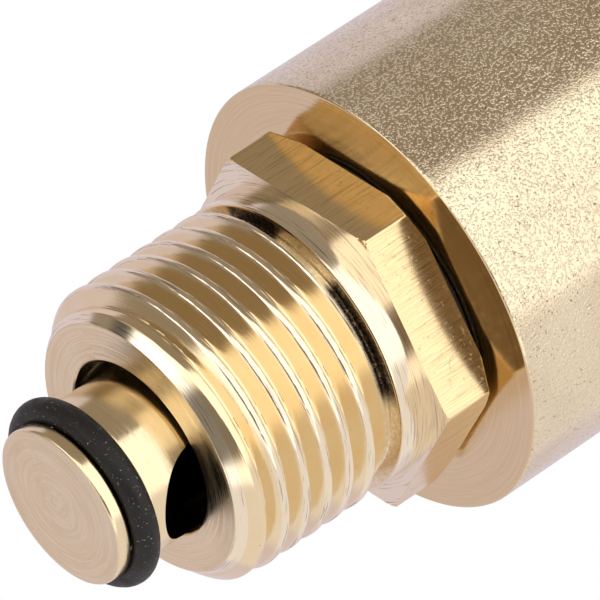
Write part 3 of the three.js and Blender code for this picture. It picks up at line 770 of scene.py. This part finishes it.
def cover(materials):
    """Skirt, flange and hexagon in one surface, with the nozzle's boss joined on and its hole cut."""
    turned, facet, inside = range(3)
    turns = hexagon_turns(216)
    across, chamfer = 26.0, 0.8
    hexagon = hexagon_radius(turns, across, 0.3)
    corner = across / math.sqrt(3)
    bottom, flat_low, flat_high = COVER_LOW[2], 67.8, 72.3
    skirt_r, groove_r, groove_low, groove_high = 13.55, 12.25, 64.0, 65.7
    flange_r, flange_low, room, ceiling = COVER_HIGH[1], 66.3, 11.3, 67.5
    outline = rounded([
        (room, bottom, 0.1, turned), (skirt_r, bottom, 0.4, turned), (skirt_r, groove_low, 0.1, turned),
        (groove_r, groove_low, 0.1, turned), (groove_r, groove_high, 0.1, turned),
        (skirt_r, groove_high, 0.1, turned), (skirt_r, flange_low, 0.08, turned),
        (flange_r, flange_low, 0.15, turned), (flange_r, flat_low, 0.3, turned),
        (corner - 0.1, flat_low, 0, turned),
    ])
    outline.add(
        facet, (hexagon - 0.08, flat_low), (hexagon - 0.02, flat_low + 0.06), (hexagon, flat_low + 0.16),
        (hexagon, flat_high - chamfer - 0.1),
    )
    for z in np.linspace(flat_high - chamfer, flat_high - 0.05, 14):
        cone = corner - (z - (flat_high - chamfer)) / CORNER_CUT
        outline.add(facet, (soft_min(hexagon, cone, 0.04), z))
    edge = outline.rows[-1][0]
    outline.add(turned, (edge - 0.03, flat_high - 0.01), (edge - 0.08, flat_high), (edge - 0.16, flat_high))
    outline.add(
        inside, (0.02, flat_high), (0.02, ceiling), (room - 0.1, ceiling), (room, ceiling - 0.1),
    )
    piece = ring_solid("cover_fine", outline, turns, materials)
    top, boss_r = COVER_HIGH[2], 5.6
    boss_corners = [
        (0.02, flat_high - 2, 0, 0), (boss_r, flat_high - 2, 0, 0), (boss_r, top, 0.5, 0), (0.02, top, 0, 0),
    ]
    boss = turned_piece("boss", boss_corners, [materials[turned]], 96, (NOZZLE_X, 0))
    piece = combine(piece, [boss], "UNION")

    def hole(name, radius, low, high, y, segments):
        return cylinder(name, radius, low, high, (0, 0, 1), (NOZZLE_X, y, 0), materials[inside], segments)

    holes = [
        hole("seat_hole", 2.5, 60, top + 1, 0, 64),
        hole("thread_hole", 4.0, 69.3, top + 1, 0, 64),
        hole("screw_hole_1", 1.15, 66, 70.2, -6.4, 32),
        hole("screw_hole_2", 1.15, 66, 70.2, 6.4, 32),
    ]
    return combine(piece, holes, "DIFFERENCE")


def nozzle(materials):
    """Seat tube, shank, small hexagon and the M8 thread that carries the cap."""
    turned, facet, inside = range(3)
    turns = hexagon_turns(120)
    across = NOZZLE_HIGH[1] * 2
    hexagon = hexagon_radius(turns, across, 0.15)
    corner = across / math.sqrt(3)
    low, high = NOZZLE_LOW[2], NOZZLE_HIGH[2]
    shoulder, flat_low, flat_high = 69.6, 75.9, 77.4
    orifice_r, bore_r, tube_r, shank_r = 0.8, 1.5, 2.2, 3.7
    crest, root, pitch = 3.9, 3.35, 1.0
    outline = rounded([
        (orifice_r, low, 0.1, turned), (1.4, low, 0.1, turned), (tube_r, low + 0.8, 0.1, turned),
        (tube_r, shoulder, 0.1, turned), (shank_r, shoulder, 0.1, turned),
        (shank_r, flat_low, 0.05, turned), (4.3, flat_low, 0, turned),
    ], 3)
    for z in (75.9, 75.95, 76.0, 76.1, 76.2, 77.1, 77.2, 77.25, 77.3, 77.35):
        rise = min(z - flat_low, flat_high - z)
        outline.add(facet, (soft_min(hexagon, corner - 0.35 + rise / CORNER_CUT, 0.03), z))
    outline.add(turned, (hexagon * 0.9, flat_high), (3.6, flat_high))
    for z in np.arange(flat_high + 0.02, high - 0.02, 0.06):
        threads = thread_radius(turns, z, crest, root, pitch, 0.2)
        outline.add(turned, (np.minimum(threads, root + (high - z)), z))
    outline.add(turned, (root - 0.05, high), (bore_r + 0.1, high))
    outline.add(inside, (bore_r, high - 0.1), (bore_r, 69.7), (orifice_r, 69.0), (orifice_r, low + 0.1))
    return ring_solid("nozzle_fine", outline, turns, materials, (NOZZLE_X, 0))


def vent_cap(material):
    """Moulded cap: rounded ribs round the side, a dished top and a blind bore, with its vent hole."""
    ribs, rib_height = 18, 0.36
    low, high = CAP_LOW[2], CAP_HIGH[2]
    core, bore, roof = 6.4, 4.25, 83.9
    ribs_low, ribs_high, rib_end = low + 0.8, high - 0.95, 0.3
    turns = even_turns(ribs * 14)
    wave = np.clip(np.cos(turns * ribs) * 1.6 - 0.45, -0.12, 1.0)
    outline = Outline()
    outline.add(
        0, (bore + 0.2, low), (core - 0.2, low), (core - 0.06, low + 0.05), (core, low + 0.18),
        (core, low + 0.75),
    )
    lower_ends = np.linspace(ribs_low, ribs_low + 0.35, 5)
    upper_ends = np.linspace(ribs_high - rib_end, ribs_high, 5)
    for z in np.concatenate((lower_ends, upper_ends)):
        grown = max(0, min(1, (z - ribs_low) / rib_end, (ribs_high - z) / rib_end))
        outline.add(0, (core + rib_height * wave * grown**0.5, z))
    for a in np.linspace(0, math.pi / 2, 8):
        outline.add(0, (core - 0.75 + 0.75 * math.cos(a), high - 0.8 + 0.8 * math.sin(a)))
    outline.add(
        0, (core - 1.1, high), (core - 1.35, high - 0.06), (core - 1.5, high - 0.2), (0.8, high - 0.3),
        (0.02, high - 0.3), (0.02, roof), (bore - 0.2, roof), (bore, roof - 0.2), (bore, low + 0.3),
    )
    piece = ring_solid("vent_cap_fine", outline, turns, [material], (NOZZLE_X, 0))
    hole = cylinder("vent_hole", 0.7, 0, 9, (0, 1, 0), (NOZZLE_X, 0, 80), material, 32)
    return combine(piece, [hole], "DIFFERENCE")


def coil(name, node, material, radius=6.5, wire=0.4, turns=4.0, around=14, per_turn=48):
    """A wire spring that fills a node's height. wire is the wire's own radius."""
    low, high = corners_mm(node)
    centre = (low + high) / 2
    count = int(turns * per_turn)
    vertices, faces = [], []
    for i in range(count + 1):
        t = i / count
        angle = 2 * math.pi * turns * t
        height = low[2] + wire + (high[2] - low[2] - 2 * wire) * t
        out = Vector((math.cos(angle), math.sin(angle), 0))
        spot = Vector((centre[0], centre[1], height)) + out * radius
        for a in even_turns(around):
            vertices.append(spot + out * (wire * math.cos(a)) + Vector((0, 0, wire * math.sin(a))))
    for i in range(count):
        for j in range(around):
            m = (j + 1) % around
            faces.append((i * around + j, (i + 1) * around + j, (i + 1) * around + m, i * around + m))
    faces.append(tuple(range(around)))
    faces.append(tuple(reversed(range(count * around, (count + 1) * around))))
    return mesh(name, vertices, faces, [material])


# ---------- putting it together ----------

make_camera()
make_world()
make_stage()
view = bpy.context.scene.view_settings
view.view_transform = "Standard"
view.look = "None"

thread_metal = turned_brass("thread_brass", 9.0, 0.000006, 0.11, 10.3)
chamfer_metal = turned_brass("chamfer_brass", 8.0, 0.000003, 0.12, 8.0)
face_metal = turned_brass("end_face_brass", 5.0, 0.0000003, 0.3)
collar_metal = turned_brass("collar_brass", 7.0, 0.000004, 0.14, 10.4)
stem_metal = turned_brass("stem_brass", 8.0, 0.000004, 0.16)
bore_shade_metal = painted_shade_brass("bore_brass_painted_shade")
groove_metal = darkened_groove_brass("groove_brass")
facet_metal = drawn_brass("hexagon_brass")
plate_metal = faced_brass("faced_brass")
cast_metal = blasted_brass("blasted_brass")
rubber = black_rubber("seal_rubber")
black = moulded_plastic("cap_plastic", (0.012, 0.012, 0.013, 1), (0.022, 0.022, 0.024, 1))
white = moulded_plastic("mechanism_plastic", (0.72, 0.7, 0.64, 1), (0.8, 0.78, 0.73, 1))
steel = stainless_steel("stainless_steel")

valve_metals = [
    face_metal, chamfer_metal, thread_metal, groove_metal, collar_metal, facet_metal, face_metal, bore_shade_metal,
    stem_metal,
]
shutter_metals = [face_metal, stem_metal, stem_metal, bore_shade_metal]
body_metals = [collar_metal, plate_metal, cast_metal, collar_metal, cast_metal]
turned_metals = [collar_metal, facet_metal, collar_metal]
pieces = [
    (valve_body(valve_metals), "valve", "valve_body", "turned_brass"),
    (shutter(shutter_metals), "shutter", "shutter", "turned_brass"),
    (round_seal("shutter_oring_fine", RING_LOW, RING_HIGH, rubber),
     "shutter", "shutter_oring", "seal_rubber"),
    (body_gasket(rubber), "gasket", "body_gasket", "seal_rubber"),
    (vent_body(body_metals), "vent", "vent_body", "cast_brass"),
    (cover(turned_metals), "vent", "cover", "turned_brass"),
    (round_seal("cover_oring_fine", *corners_mm("cover_oring"), rubber),
     "vent", "cover_oring", "seal_rubber"),
    (nozzle(turned_metals), "vent", "nozzle", "turned_brass"),
    (vent_cap(black), "cap", "vent_cap", "cap_plastic"),
]
for piece, body, node, slot in pieces:
    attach(piece, body)
    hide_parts(node)

# the spring reaches from the valve's shoulder to the shutter's flange
spring = coil("shutter_spring_fine", "shutter_spring", steel)
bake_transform(spring)
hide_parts("shutter_spring")

# the CAD's own shapes, with better materials
kept = {
    steel: ["bracket_screw_1", "bracket_screw_2", "lever_pin", "pin_clip", "lever_arm", "float_link"],
    white: ["lever_bracket", "float"],
    rubber: ["nozzle_gasket", "cap_seal", "obturator"],
}
for material, names in kept.items():
    for name in names:
        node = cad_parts[name]
        node.data.materials.clear()
        node.data.materials.append(material)
